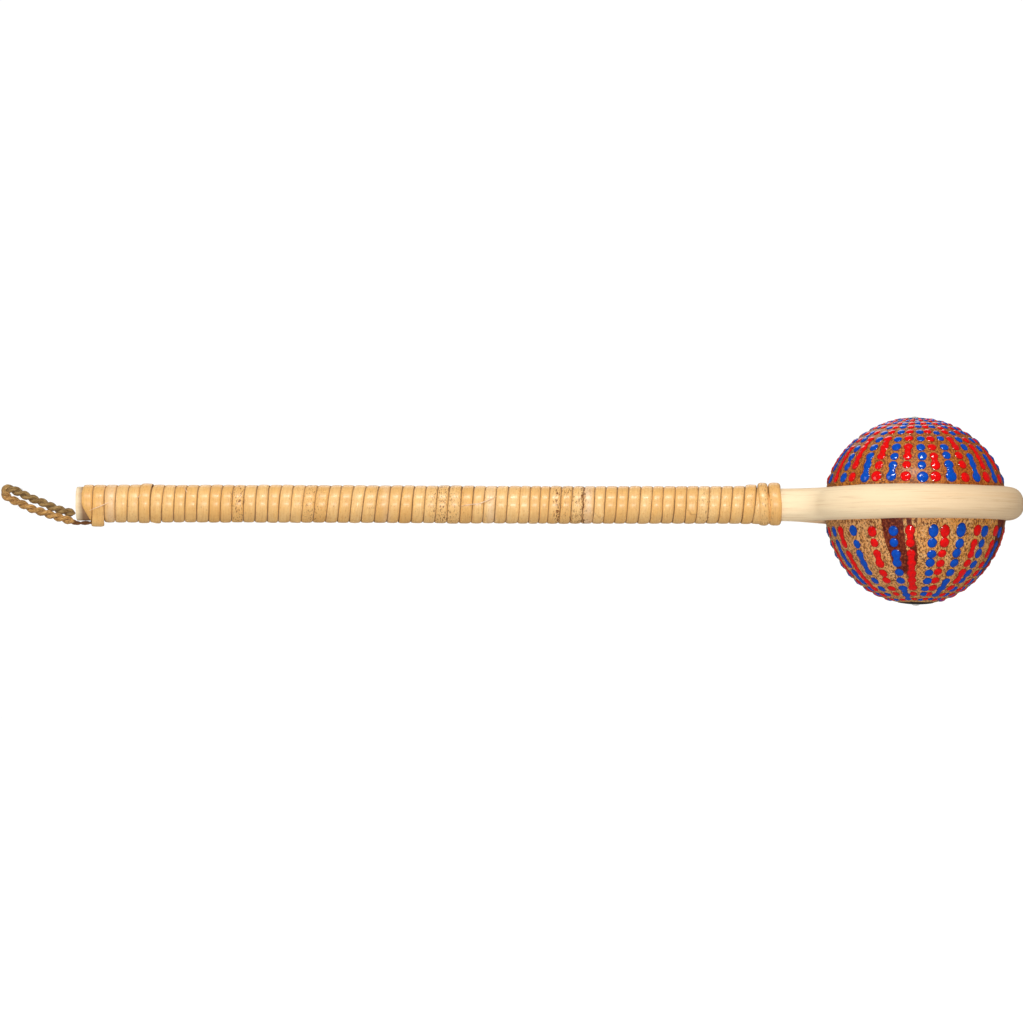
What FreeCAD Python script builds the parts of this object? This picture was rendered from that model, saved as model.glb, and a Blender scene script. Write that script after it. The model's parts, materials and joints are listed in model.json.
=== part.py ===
import FreeCAD, Part
import math
import os

from FreeCAD import Vector

# A rattle on a stick: a hollow nut-shell head clasped in a bent loop of split rattan, whose two
# tails lie flat to flat as the handle and are bound with rattan peel. A twisted cord loop hangs
# from the butt, and loose seeds lie inside the head.
#
# Millimetres. Origin at the centre of the handle's butt end. +X runs along the handle to the
# head, +Z runs up along the head's pole axis, and the bent loop lies in the XY plane.

# ---------- driving dimensions ----------
POLE_R = 9.3            # radius of the round rattan pole before it was split
SPLIT_GAP = 0.1         # between the two flat faces along the handle
NECK_X = 386.0          # where the two halves part, at the end of the binding
HEAD_X = 460.6          # pole axis of the head
HEAD_R = 50.0           # largest radius of the head
UPPER_H = 48.2          # height of the upper half shell above the seam
LOWER_H = 54.0          # depth of the lower half shell below the seam
SEAM_Z = -1.3           # level of the glued seam
CAVITY_R = 46.2         # radius of the round space inside
CAVITY_DROP = 2.9       # its centre lies this far below the seam
HOOP_CLEARANCE = 0.05   # between the loop's flat inner face and the head

PEG_R = 1.5             # wooden peg through the loop's far end into the upper shell
PEG_Z = 1.4
PEG_PROUD = 0.5
PEG_DEPTH = 13.0
PEG_EDGE_R = 0.4        # round on the edge of its proud end

STRIP_W = 6.2           # binding strip, across
STRIP_T = 1.0           # binding strip, at the crown of its domed section
STRIP_EDGE_T = 0.35     # binding strip, at its edges
STRIP_CLEARANCE = 0.03
PITCH = 6.4             # one turn of the binding
TOP_CROSSING_X = 50.4   # a turn whose middle crosses the top of the handle here
SPLICES_X = (13.1, 40.8, 117.9, 204.6, 284.9, 336.3, 382.6)
SPLICE_GAP_DEG = 2.0    # between two strips' ends

BUTT_START_X = 3.08     # middle of the binding's pointed start
BUTT_START_SHARE = 0.2  # of the full width, at the point
BUTT_GROWTH_DEG = 162.0 # turned while the point widens to the full width
BUTT_STEP_DEG = 8.0     # between the sections of its loft

NECK_STRIP_W = 6.0      # second layer of binding that closes the neck
NECK_STRIP_T = 1.35
NECK_LAYER_X = (375.9, 382.9)

TAIL_ANGLE = 259.0      # where the cord's tail runs along the core, from +Y towards +Z
TAIL_HALF_H = 1.15
TAIL_HALF_W = 1.5
TAIL_X = (0.8, 11.6)
BUMP_H = 2.5            # rise of the binding over the tail
BUMP_HALF_DEG = 40.0

CORD_EXIT = Vector(-1.8, -2.0, -10.9)   # flex point where the cord leaves the butt
CORD_FOLD = Vector(-5.6, -1.0, -8.1)    # flex point where the cord opens into its loop
NECK_CORD_R = 1.3
PLY_R = 1.0             # radius of one of the cord's two plies
PLY_OFFSET = 1.1        # of each ply's middle from the cord's own middle
PLY_LEAD = 11.0         # length of one full twist
POINTS_PER_LEAD = 8     # of the curve that each ply follows
LOOP_ROOT = Vector(-7.7, 0, -6.2)       # between the roots of the loop's two legs
LOOP_LEAN = 20.6        # rise of the loop away from the butt, degrees
LEG_ROOT_W = 2.25       # half the legs' spacing at their roots
LEG_STAGGER = 0.9       # the legs cross the roots this far to either side along Y
BEND_R = 3.1            # the loop's far bend
BEND_S = 32.0           # from the root to the middle of the bend

SEED_R = (3.1, 3.6, 3.3, 3.7, 3.2)      # seeds vary in size
SEED_GAP = 0.35
SEED_CLEARANCE = 0.05
LANE_PITCH = 8.0        # seeds roll in lanes this far apart along Y
LANES = {"seeds_near": -2, "seeds_near_middle": -1, "seeds_middle": 0,
         "seeds_far_middle": 1, "seeds_far": 2}
LANE_COUNTS = {-2: 4, -1: 5, 0: 5, 1: 5, 2: 4}

# ---------- worked out from these ----------
X_AXIS = Vector(1, 0, 0)
Y_AXIS = Vector(0, 1, 0)
Z_AXIS = Vector(0, 0, 1)
HALF_GAP = SPLIT_GAP / 2
HALF_T = POLE_R - HALF_GAP                              # thickness of a split half
FLAT_HALF_W = math.sqrt(POLE_R ** 2 - HALF_GAP ** 2)    # half the width of its flat face
HOOP_R = HEAD_R + HOOP_CLEARANCE
REACH = HEAD_X - NECK_X
# The outward bend at the neck and the bend round the head meet with no kink.
NECK_R = (REACH ** 2 + HALF_GAP ** 2 - HOOP_R ** 2) / (2 * (HOOP_R - HALF_GAP))
NECK_TURN = math.atan2(REACH, NECK_R + HALF_GAP)
CAVITY_CENTRE = Vector(HEAD_X, 0, SEAM_Z - CAVITY_DROP)
STRIP_R = POLE_R + STRIP_CLEARANCE


def export(shape, name):
    shape.exportStep("parts/" + name + ".step")


def around_x(radius, degrees, x=0.0):
    """The point at a radius and angle round the handle, from +Y towards +Z."""
    angle = math.radians(degrees)
    return Vector(x, radius * math.cos(angle), radius * math.sin(angle))


def helix_angle(x):
    """Where round the handle the binding's middle stands at x; the turns are left-handed."""
    return 90.0 - 360.0 * (x - TOP_CROSSING_X) / PITCH


# ---------- the bent loop of split rattan ----------
def half_round(flat_middle, outward):
    """The section of a split half: a flat chord, and a round back towards outward."""
    low = flat_middle - Z_AXIS * FLAT_HALF_W
    high = flat_middle + Z_AXIS * FLAT_HALF_W
    crown = flat_middle + outward * HALF_T
    return Part.Face(Part.Wire([Part.LineSegment(low, high).toShape(),
                                Part.Arc(high, crown, low).toShape()]))


def make_hoop():
    pieces = []
    turned = math.degrees(NECK_TURN)
    for side in (-1, 1):
        outward = Vector(0, side, 0)
        tail = half_round(Vector(0, side * HALF_GAP, 0), outward)
        pieces.append(tail.extrude(X_AXIS * NECK_X))
        bend = half_round(Vector(NECK_X, side * HALF_GAP, 0), outward)
        centre = Vector(NECK_X, side * (HALF_GAP + NECK_R), 0)
        pieces.append(bend.revolve(centre, Z_AXIS, side * turned))
    radial = Vector(-math.sin(NECK_TURN), -math.cos(NECK_TURN), 0)
    section = half_round(Vector(HEAD_X, 0, 0) + radial * HOOP_R, radial)
    pieces.append(section.revolve(Vector(HEAD_X, 0, 0), Z_AXIS, 180 + 2 * turned))
    hoop = pieces[0].fuse(pieces[1:]).removeSplitter()
    return hoop.cut(peg_body())


# ---------- the head ----------
def half_shell(height, sign):
    """One half of the shell: a half ellipsoid outside, the round cavity inside."""
    middle = Vector(HEAD_X, 0, SEAM_Z)
    pole = middle + Z_AXIS * (sign * height)
    rim = middle - X_AXIS * HEAD_R
    if height > HEAD_R:
        ellipse = Part.Ellipse(pole, rim, middle)
    else:
        ellipse = Part.Ellipse(rim, pole, middle)
    quarter = Part.ArcOfEllipse(ellipse, 0, math.pi / 2).toBSpline().toShape()
    outline = Part.Face(Part.Wire([quarter,
                                   Part.LineSegment(pole, middle).toShape(),
                                   Part.LineSegment(middle, rim).toShape()]))
    dome = outline.revolve(middle, Z_AXIS, 360)
    return dome.cut(Part.makeSphere(CAVITY_R, CAVITY_CENTRE)).cut(peg_body())


def peg_body():
    end_x = HEAD_X + HOOP_R + HALF_T + PEG_PROUD
    return Part.makeCylinder(PEG_R, PEG_DEPTH + PEG_PROUD, Vector(end_x, 0, PEG_Z), -X_AXIS)


def make_peg():
    peg = peg_body()
    proud_edges = [e for e in peg.Edges if e.BoundBox.XMin > HEAD_X + HOOP_R + HALF_T]
    return peg.makeFillet(PEG_EDGE_R, proud_edges)


# ---------- the binding ----------
def strip_section(low, high, outward, thickness):
    """Domed strip section between the two inner corners, rising along outward."""
    high_edge = high + outward * STRIP_EDGE_T
    low_edge = low + outward * STRIP_EDGE_T
    crown = (low + high) / 2 + outward * thickness
    return Part.Wire([Part.LineSegment(low, high).toShape(),
                      Part.LineSegment(high, high_edge).toShape(),
                      Part.Arc(high_edge, crown, low_edge).toShape(),
                      Part.LineSegment(low_edge, low).toShape()])


def wound_strip(x_start, x_end, width, thickness, inner):
    """A left-handed helical strip whose middle runs from x_start to x_end."""
    path = Part.makeHelix(PITCH, x_end - x_start, inner)
    low = Vector(inner, 0, -width / 2)
    high = Vector(inner, 0, width / 2)
    sweep = Part.BRepOffsetAPI.MakePipeShell(path)
    sweep.setFrenetMode(True)
    sweep.add(strip_section(low, high, X_AXIS, thickness))
    sweep.build()
    sweep.makeSolid()
    strip = sweep.shape().mirror(Vector(0, 0, 0), Y_AXIS)
    # a third of a turn about the diagonal carries the helix's own Z to the handle's X
    strip.rotate(Vector(0, 0, 0), Vector(1, 1, 1), 120)
    strip.rotate(Vector(0, 0, 0), X_AXIS, helix_angle(x_start))
    strip.translate(X_AXIS * x_start)
    return strip


def make_handle_strips():
    """The first layer, in one strip after another along one helix."""
    gap = PITCH * SPLICE_GAP_DEG / 360
    strips = []
    for start, end in zip(SPLICES_X, SPLICES_X[1:]):
        strips.append(wound_strip(start + gap, end, STRIP_W, STRIP_T, STRIP_R))
    return strips


def bump(degrees):
    """Rise of the binding where it crosses the cord's tail."""
    off = (degrees - TAIL_ANGLE + 180) % 360 - 180
    if abs(off) >= BUMP_HALF_DEG:
        return 0.0
    return BUMP_H * math.cos(math.pi / 2 * off / BUMP_HALF_DEG) ** 2


def make_butt_binding():
    """The first two turns: a pointed start, then a full turn that holds the cord's tail down."""
    start_angle = helix_angle(BUTT_START_X)
    wound = start_angle - helix_angle(SPLICES_X[0])
    count = int(wound / BUTT_STEP_DEG)
    sections = []
    for i in range(count + 1):
        turned = wound * i / count
        angle = start_angle - turned
        share = BUTT_START_SHARE + turned / BUTT_GROWTH_DEG
        width = STRIP_W * min(1.0, share)
        # the pointed start hugs the second turn
        x = BUTT_START_X + turned * PITCH / 360 + (STRIP_W - width) / 2
        over_tail = bump(angle) if turned > 180 else 0.0
        outward = around_x(1.0, angle)
        inner = outward * (STRIP_R + over_tail)
        low = inner + X_AXIS * (x - width / 2)
        high = inner + X_AXIS * (x + width / 2)
        sections.append(strip_section(low, high, outward, STRIP_T))
    return Part.makeLoft(sections, True, False)


# ---------- the cord ----------
def make_cord_tail():
    """The cord's gathered ends, laid along the core under the binding."""
    start, end = TAIL_X
    middle = around_x(STRIP_R + TAIL_HALF_H, TAIL_ANGLE, start)
    across = around_x(1.0, TAIL_ANGLE + 90)
    ellipse = Part.Ellipse(middle + across * TAIL_HALF_W,
                           middle + around_x(1.0, TAIL_ANGLE) * TAIL_HALF_H, middle)
    section = Part.Face(Part.Wire([ellipse.toShape()]))
    return section.extrude(X_AXIS * (end - start))


def make_cord_neck():
    """The short gathered length between the two flex points."""
    along = CORD_FOLD - CORD_EXIT
    rod = Part.makeCylinder(NECK_CORD_R, along.Length, CORD_EXIT, along)
    return rod.fuse([Part.makeSphere(NECK_CORD_R, CORD_EXIT),
                     Part.makeSphere(NECK_CORD_R, CORD_FOLD)]).removeSplitter()


def loop_path():
    """The cord's middle line: out along one leg, round the far bend and back along the other."""
    lean = math.radians(LOOP_LEAN)
    out = Vector(-math.cos(lean), 0, math.sin(lean))
    across = Vector(math.sin(lean), 0, math.cos(lean))

    def place(s, w):
        # the legs lie side by side at the root and share one plane at the bend
        beside = Y_AXIS * (LEG_STAGGER * w / BEND_R * (1 - s / BEND_S))
        return LOOP_ROOT + out * s + across * w + beside

    leg = [(BEND_S * share, LEG_ROOT_W + (BEND_R - LEG_ROOT_W) * math.sin(math.pi / 2 * share))
           for share in (0.0, 0.2, 0.4, 0.6, 0.8, 1.0)]
    points = [place(s, w) for s, w in leg]
    for degrees in (30, 60, 90, 120, 150):
        turn = math.radians(degrees)
        points.append(place(BEND_S + BEND_R * math.sin(turn), BEND_R * math.cos(turn)))
    points += [place(s, -w) for s, w in reversed(leg)]
    curve = Part.BSplineCurve()
    curve.interpolate(points)
    return curve


def make_ply(path, phase):
    """One ply: a round strand that winds about the cord's middle line."""
    length = path.length()
    count = int(length / PLY_LEAD * POINTS_PER_LEAD)
    across = Y_AXIS
    points = []
    for i in range(count + 1):
        at = path.parameterAtDistance(length * i / count, path.FirstParameter)
        along = path.tangent(at)[0]
        across = (across - along * across.dot(along)).normalize()
        other = along.cross(across)
        turn = phase - 2 * math.pi * (length * i / count) / PLY_LEAD
        outward = across * math.cos(turn) + other * math.sin(turn)
        points.append(path.value(at) + outward * PLY_OFFSET)
    middle = Part.BSplineCurve()
    middle.interpolate(points)
    start = middle.FirstParameter
    section = Part.makeCircle(PLY_R, middle.value(start), middle.tangent(start)[0])
    sweep = Part.BRepOffsetAPI.MakePipeShell(Part.Wire([middle.toShape()]))
    sweep.setFrenetMode(False)
    sweep.add(Part.Wire([section]))
    sweep.build()
    sweep.makeSolid()
    return sweep.shape()


# ---------- the seeds ----------
def make_lane(lane):
    """A row of seeds in one plane, lying on the cavity's wall and balanced about its lowest point."""
    y = lane * LANE_PITCH
    count = LANE_COUNTS[lane]
    radii = [SEED_R[(i + 2 * lane) % len(SEED_R)] for i in range(count)]
    reaches = [math.sqrt((CAVITY_R - r - SEED_CLEARANCE) ** 2 - y ** 2) for r in radii]
    angles = [0.0]
    for i in range(1, count):
        apart = radii[i - 1] + radii[i] + SEED_GAP
        mean = (reaches[i - 1] + reaches[i]) / 2
        angles.append(angles[-1] + 2 * math.asin(apart / 2 / mean))
    weight_x = sum(r ** 3 * d * math.sin(a) for r, d, a in zip(radii, reaches, angles))
    weight_z = sum(r ** 3 * d * math.cos(a) for r, d, a in zip(radii, reaches, angles))
    balance = math.atan2(weight_x, weight_z)
    seeds = []
    for r, d, a in zip(radii, reaches, angles):
        down = a - balance
        middle = CAVITY_CENTRE + Vector(d * math.sin(down), y, -d * math.cos(down))
        seeds.append(Part.makeSphere(r, middle))
    return Part.makeCompound(seeds)


# ---------- write every piece ----------
os.makedirs("parts", exist_ok=True)
export(make_hoop(), "hoop")
export(half_shell(UPPER_H, 1), "upper_shell")
export(half_shell(LOWER_H, -1), "lower_shell")
export(make_peg(), "tip_peg")
for number, strip in enumerate(make_handle_strips(), start=1):
    export(strip, "wrap_strip_" + str(number))
export(wound_strip(NECK_LAYER_X[0], NECK_LAYER_X[1], NECK_STRIP_W, NECK_STRIP_T,
                   STRIP_R + STRIP_T + STRIP_CLEARANCE), "neck_binding")
export(make_butt_binding(), "butt_binding")
export(make_cord_tail(), "cord_tail")
export(make_cord_neck(), "cord_neck")
cord_line = loop_path()
export(make_ply(cord_line, 0.0), "cord_ply_a")
export(make_ply(cord_line, math.pi), "cord_ply_b")
for lane_name, lane_number in LANES.items():
    export(make_lane(lane_number), lane_name)
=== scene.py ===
import json
import math

import bpy
import numpy as np
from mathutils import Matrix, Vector

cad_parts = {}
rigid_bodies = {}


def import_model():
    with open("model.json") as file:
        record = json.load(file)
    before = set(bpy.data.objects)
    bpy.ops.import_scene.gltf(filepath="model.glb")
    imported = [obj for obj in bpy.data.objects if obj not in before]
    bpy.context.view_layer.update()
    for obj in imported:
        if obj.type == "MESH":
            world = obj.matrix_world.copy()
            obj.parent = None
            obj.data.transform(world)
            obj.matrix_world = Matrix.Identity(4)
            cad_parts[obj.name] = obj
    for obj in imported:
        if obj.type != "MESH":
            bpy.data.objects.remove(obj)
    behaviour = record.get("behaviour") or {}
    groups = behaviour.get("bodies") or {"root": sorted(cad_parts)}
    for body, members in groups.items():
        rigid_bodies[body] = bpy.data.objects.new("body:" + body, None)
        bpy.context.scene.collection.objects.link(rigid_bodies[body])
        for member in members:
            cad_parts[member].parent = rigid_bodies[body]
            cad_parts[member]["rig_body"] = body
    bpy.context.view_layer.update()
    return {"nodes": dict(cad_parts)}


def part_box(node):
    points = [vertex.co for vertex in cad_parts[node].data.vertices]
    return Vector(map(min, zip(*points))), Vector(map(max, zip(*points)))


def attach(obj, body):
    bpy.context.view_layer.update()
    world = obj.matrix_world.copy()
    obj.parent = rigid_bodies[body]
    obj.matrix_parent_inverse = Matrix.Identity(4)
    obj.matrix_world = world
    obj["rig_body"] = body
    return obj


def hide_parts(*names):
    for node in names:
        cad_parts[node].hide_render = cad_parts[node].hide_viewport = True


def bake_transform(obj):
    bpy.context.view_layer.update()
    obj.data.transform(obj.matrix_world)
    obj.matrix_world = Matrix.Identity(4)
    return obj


# A rattle on a stick, lying level with its head to the right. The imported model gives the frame;
# every visible piece is built here round it, in millimetres, and turned into metres on the way in.
# +X runs from the butt to the head, +Z up the head's pole axis, and the bent loop lies in XY.

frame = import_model()

MM = 0.001

# ---- places taken from the frame ----
upper_low, upper_high = [np.array(c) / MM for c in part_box("upper_shell")]
lower_low = np.array(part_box("lower_shell")[0]) / MM
hoop_high = np.array(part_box("hoop")[1]) / MM
HEAD_X = (upper_low[0] + upper_high[0]) / 2
HEAD_R = (upper_high[0] - upper_low[0]) / 2
SEAM_Z = upper_low[2]
UPPER_H = upper_high[2] - SEAM_Z
LOWER_H = SEAM_Z - lower_low[2]
POLE_R = hoop_high[2]  # radius of the round pole before it was split
SPLIT_HALF_GAP = 0.05  # between the loop's two tails
HOOP_R = hoop_high[0] - HEAD_X - POLE_R + SPLIT_HALF_GAP  # of the loop's flat inner face
NECK_BINDING_X = np.array(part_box("neck_binding")[0])[0] / MM  # where the neck's second layer starts

# ---- sizes ----
NECK_X = 386.0  # where the tails part
CAVITY_R = 46.2
CAVITY_Z = -4.2
PITCH = 6.4  # one turn of the binding
TOP_CROSSING_X = 50.4  # a turn whose middle crosses the top of the handle here
STRIP_R = POLE_R + 0.03  # inside of the binding
STRIP_T = 1.08
STRIP_GAP = 0.22
WOUND_STEP = 4.0  # degrees between a wound strip's sections
SPLICES_X = (13.1, 40.8, 117.9, 204.6, 284.9, 336.3, 382.6)


# ---- shapes of numbers ----
def ease(share):
    """0 to 1 with level ends, clamped outside."""
    share = np.clip(share, 0.0, 1.0)
    return share * share * (3.0 - 2.0 * share)


def near(value, middle, half_width):
    """1 at the middle, falling smoothly to 0 at half_width on either side."""
    return ease(1.0 - np.abs(value - middle) / half_width)


def sag(x):
    """How far the handle has bowed down at x."""
    return -0.7 * ease((x - 70.0) / 220.0) * (1.0 - ease((x - 385.0) / 70.0))


def relief(points, size, seed):
    """Smooth seeded noise from -1 to 1, with lumps about size across."""
    table = np.random.default_rng(seed).uniform(-1.0, 1.0, 4096)
    cell = np.asarray(points, float) / size
    base = np.floor(cell).astype(np.int64)
    share = ease(cell - base)
    total = np.zeros(cell.shape[:-1])
    for corner in range(8):
        step = np.array([corner & 1, corner >> 1 & 1, corner >> 2 & 1])
        key = (base + step) * np.array([73856093, 19349663, 83492791])
        weight = np.prod(np.where(step, share, 1.0 - share), axis=-1)
        total += table[(key[..., 0] ^ key[..., 1] ^ key[..., 2]) & 4095] * weight
    return total


def wander(value, size, seed):
    """Smooth seeded noise of one number."""
    return relief(np.asarray(value)[..., None] * (1.0, 0.0, 0.0), size, seed)


def circle(count):
    """Angles evenly round a circle."""
    return np.linspace(0.0, 2 * np.pi, count, endpoint=False)


def lengths_along(points):
    """How far each point is from the first, along the line through them all."""
    steps = np.linalg.norm(np.diff(points, axis=0), axis=1)
    return np.concatenate([[0.0], np.cumsum(steps)])


# ---- meshes ----
# A part is (points, faces, values): an array of points, a list of arrays of corner numbers, and
# named values at the points.
def sheet_faces(rows, columns, closed):
    """Four-sided faces over a grid of points; closed joins the last column to the first."""
    row = np.arange(rows - 1)[:, None]
    column = np.arange(columns if closed else columns - 1)[None, :]
    beside = (column + 1) % columns
    corners = [row * columns + column, row * columns + beside,
               (row + 1) * columns + beside, (row + 1) * columns + column]
    return np.stack(corners, -1).reshape(-1, 4)


def closed_sweep(grid, values):
    """A part from closed rings of points, with its two ends filled."""
    rows, columns = grid.shape[:2]
    points = grid.reshape(-1, 3)
    faces = [sheet_faces(rows, columns, True)]
    flat_values = {name: v.reshape(rows * columns, -1) for name, v in values.items()}
    for ring, turn in ((0, 1), (rows - 1, -1)):
        middle = len(points)
        first = np.arange(columns) + ring * columns
        fan = np.stack([np.full(columns, middle), np.roll(first, -1), first][::turn], -1)
        points = np.vstack([points, points[first].mean(0)])
        faces.append(fan)
        for name, v in flat_values.items():
            flat_values[name] = np.vstack([v, v[first].mean(0)])
    return points, faces, flat_values


def join(parts):
    faces, first = [], 0
    for points, part_faces, _ in parts:
        faces += [f + first for f in part_faces]
        first += len(points)
    values = {name: np.concatenate([part[2][name] for part in parts]) for name in parts[0][2]}
    return np.concatenate([part[0] for part in parts]), faces, values


def add_object(name, data):
    made = bpy.data.objects.new(name, data)
    bpy.context.scene.collection.objects.link(made)
    return made


def make_object(name, part, material):
    """A smooth-shaded object from a part, turned into metres."""
    points, faces, values = part
    mesh = bpy.data.meshes.new(name)
    mesh.from_pydata((points * MM).tolist(), [], [corners for f in faces for corners in f.tolist()])
    for value_name, v in values.items():
        kind, field = ("FLOAT_VECTOR", "vector") if v.shape[-1] == 3 else ("FLOAT", "value")
        attribute = mesh.attributes.new(value_name, kind, "POINT")
        attribute.data.foreach_set(field, v.astype(np.float32).ravel())
    mesh.validate()
    mesh.shade_smooth()
    mesh.materials.append(material)
    return add_object(name, mesh)


def make_piece(name, part, material, stands_for=(), body="rattle"):
    """A piece that stands for these CAD nodes, hiding them, and rides on a body, or on none."""
    piece = make_object(name, part, material)
    if body:
        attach(piece, body)
    if stands_for:
        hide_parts(*stands_for)
    return piece


# ---- lines and tubes ----
def smooth_line(points, step):
    """Points every step millimetres along a smooth curve through the given points."""
    points = np.asarray(points, float)
    padded = np.vstack([2 * points[0] - points[1], points, 2 * points[-1] - points[-2]])
    t = np.linspace(0.0, 1.0, 40, endpoint=False)[:, None]
    spans = []
    for a, b, c, d in zip(padded, padded[1:], padded[2:], padded[3:]):
        spans.append(0.5 * (2 * b + (c - a) * t + (2 * a - 5 * b + 4 * c - d) * t ** 2
                            + (3 * b - a - 3 * c + d) * t ** 3))
    dense = np.vstack(spans + [points[-1:]])
    along = lengths_along(dense)
    wanted = np.linspace(0.0, along[-1], int(along[-1] / step) + 2)
    return np.stack([np.interp(wanted, along, dense[:, k]) for k in range(3)], -1)


def line_frame(line):
    """Lengths, and two directions square to the line that don't twist along it."""
    along = np.gradient(line, axis=0)
    along /= np.linalg.norm(along, axis=1)[:, None]
    across = np.array([0.0, 1.0, 0.0]) if abs(along[0][1]) < 0.9 else np.array([1.0, 0.0, 0.0])
    sides = []
    for direction in along:
        across = across - direction * (across @ direction)
        across = across / np.linalg.norm(across)
        sides.append(across)
    sides = np.array(sides)
    return lengths_along(line), sides, np.cross(along, sides)


def tube(line, radius, sides, values):
    """A closed tube; radius has a row for each point of the line, of one number or one for each side."""
    lengths, across, other = line_frame(line)
    cos, sin = np.cos(circle(sides)), np.sin(circle(sides))
    radius = radius * np.ones(sides)
    radius[[0, -1]] *= 0.45
    ring = across[:, None] * cos[:, None] + other[:, None] * sin[:, None]
    grid = line[:, None] + ring * radius[..., None]
    grain = np.stack([lengths[:, None] + 0 * radius, cos * radius, sin * radius], -1)
    given = {name: v[:, None] + 0 * radius for name, v in values.items()}
    return closed_sweep(grid, {"grain": grain, **given})


# ---- materials ----
def rgb(red, green, blue):
    """A display colour, 0 to 255, as the linear colour a material takes."""
    def linear(c):
        c /= 255.0
        return c / 12.92 if c <= 0.04045 else ((c + 0.055) / 1.055) ** 2.4
    return (linear(red), linear(green), linear(blue), 1.0)


class Nodes:
    """Builds a material's or a world's nodes. Texture sizes are in millimetres."""

    def __init__(self, owner):
        owner.use_nodes = True
        self.tree = owner.node_tree
        self.tree.nodes.clear()

    def fill(self, node, inputs):
        """Links or sets each named or numbered input."""
        for key, value in inputs.items():
            if isinstance(value, bpy.types.NodeSocket):
                self.tree.links.new(value, node.inputs[key])
            else:
                node.inputs[key].default_value = value

    def add(self, kind, inputs, **settings):
        node = self.tree.nodes.new("ShaderNode" + kind)
        for key, value in settings.items():
            setattr(node, key, value)
        self.fill(node, inputs)
        return node

    def place(self):
        """Object coordinates in millimetres."""
        inside = self.add("TexCoord", {}).outputs["Object"]
        return self.stretch(inside, (1 / MM, 1 / MM, 1 / MM))

    def given(self, name, output="Fac"):
        return self.add("Attribute", {}, attribute_name=name).outputs[output]

    def grain(self, along):
        """The piece's own grain coordinates, with what lies along them drawn out 1 / along times."""
        return self.stretch(self.given("grain", "Vector"), (along, 1.0, 1.0))

    def x_of(self, vector):
        return self.add("SeparateXYZ", {"Vector": vector}).outputs["X"]

    def stretch(self, vector, scale):
        return self.add("Mapping", {"Vector": vector, "Scale": scale}).outputs["Vector"]

    def noise(self, vector, size, detail=3.0, rough=0.55, warp=0.0):
        inputs = {"Vector": vector, "Scale": 1.0 / size, "Detail": detail, "Roughness": rough,
                  "Distortion": warp}
        return self.add("TexNoise", inputs).outputs["Fac"]

    def ramp(self, factor, stops):
        node = self.add("ValToRGB", {"Fac": factor})
        elements = node.color_ramp.elements
        for place, colour in stops[2:]:
            elements.new(place)
        for element, (place, colour) in zip(elements, sorted(stops)):
            element.position = place
            element.color = colour
        return node.outputs["Color"]

    def level(self, factor, low, high, out_low=0.0, out_high=1.0):
        inputs = {"Value": factor, "From Min": low, "From Max": high, "To Min": out_low, "To Max": out_high}
        return self.add("MapRange", inputs, interpolation_type="SMOOTHSTEP").outputs["Result"]

    def mix(self, factor, a, b):
        return self.add("Mix", {0: factor, 6: a, 7: b}, data_type="RGBA").outputs[2]

    def tinge(self, colour, factor, low, high, most, tint):
        """The colour, turned up to most of the way to a tint as the factor goes from low to high."""
        return self.mix(self.level(factor, low, high, 0.0, most), colour, tint)

    def sum(self, a, b, operation="ADD"):
        return self.add("Math", {0: a, 1: b}, operation=operation).outputs[0]

    def times(self, a, b):
        return self.sum(a, b, "MULTIPLY")

    def bump(self, height, depth, under=None):
        """Height 0 to 1 stands for depth millimetres."""
        inputs = {"Height": height, "Distance": depth * MM, "Strength": 1.0}
        if under:
            inputs["Normal"] = under
        return self.add("Bump", inputs).outputs["Normal"]


class Finish(Nodes):
    """One procedural material."""

    def __init__(self, name):
        self.material = bpy.data.materials.new(name)
        super().__init__(self.material)
        self.surface = self.add("BsdfPrincipled", {})
        self.add("OutputMaterial", {"Surface": self.surface.outputs["BSDF"]})

    def done(self, colour, roughness, normal=None, coat=0.0, coat_roughness=0.1, sheen=0.0, light=0.5):
        values = {"Base Color": colour, "Roughness": roughness, "Coat Weight": coat,
                  "Coat Roughness": coat_roughness, "Sheen Weight": sheen, "Specular IOR Level": light}
        if normal:
            values["Normal"] = normal
        self.fill(self.surface, values)
        return self.material


def rattan_pole():
    """Scraped rattan pole: cream, with long fine vessels and faint stains."""
    f = Finish("rattan_pole")
    line = f.noise(f.grain(0.02), 0.75, 4.0, 0.7)
    broad = f.noise(f.grain(0.06), 5.0, 2.0)
    stain = f.noise(f.grain(0.25), 7.0, 4.0, 0.6, 0.6)
    base = f.mix(f.level(f.x_of(f.place()), 380.0, 525.0), rgb(250, 226, 186), rgb(232, 201, 160))
    colour = f.tinge(base, line, 0.50, 0.72, 0.42, rgb(196, 148, 92))
    colour = f.tinge(colour, broad, 0.50, 0.75, 0.35, rgb(222, 178, 124))
    colour = f.tinge(colour, stain, 0.64, 0.78, 0.45, rgb(176, 118, 62))
    colour = f.mix(f.given("shade"), colour, rgb(120, 72, 30))
    rough = f.level(line, 0.3, 0.7, 0.55, 0.75)
    return f.done(colour, rough, f.bump(line, 0.12), light=0.2)


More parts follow.
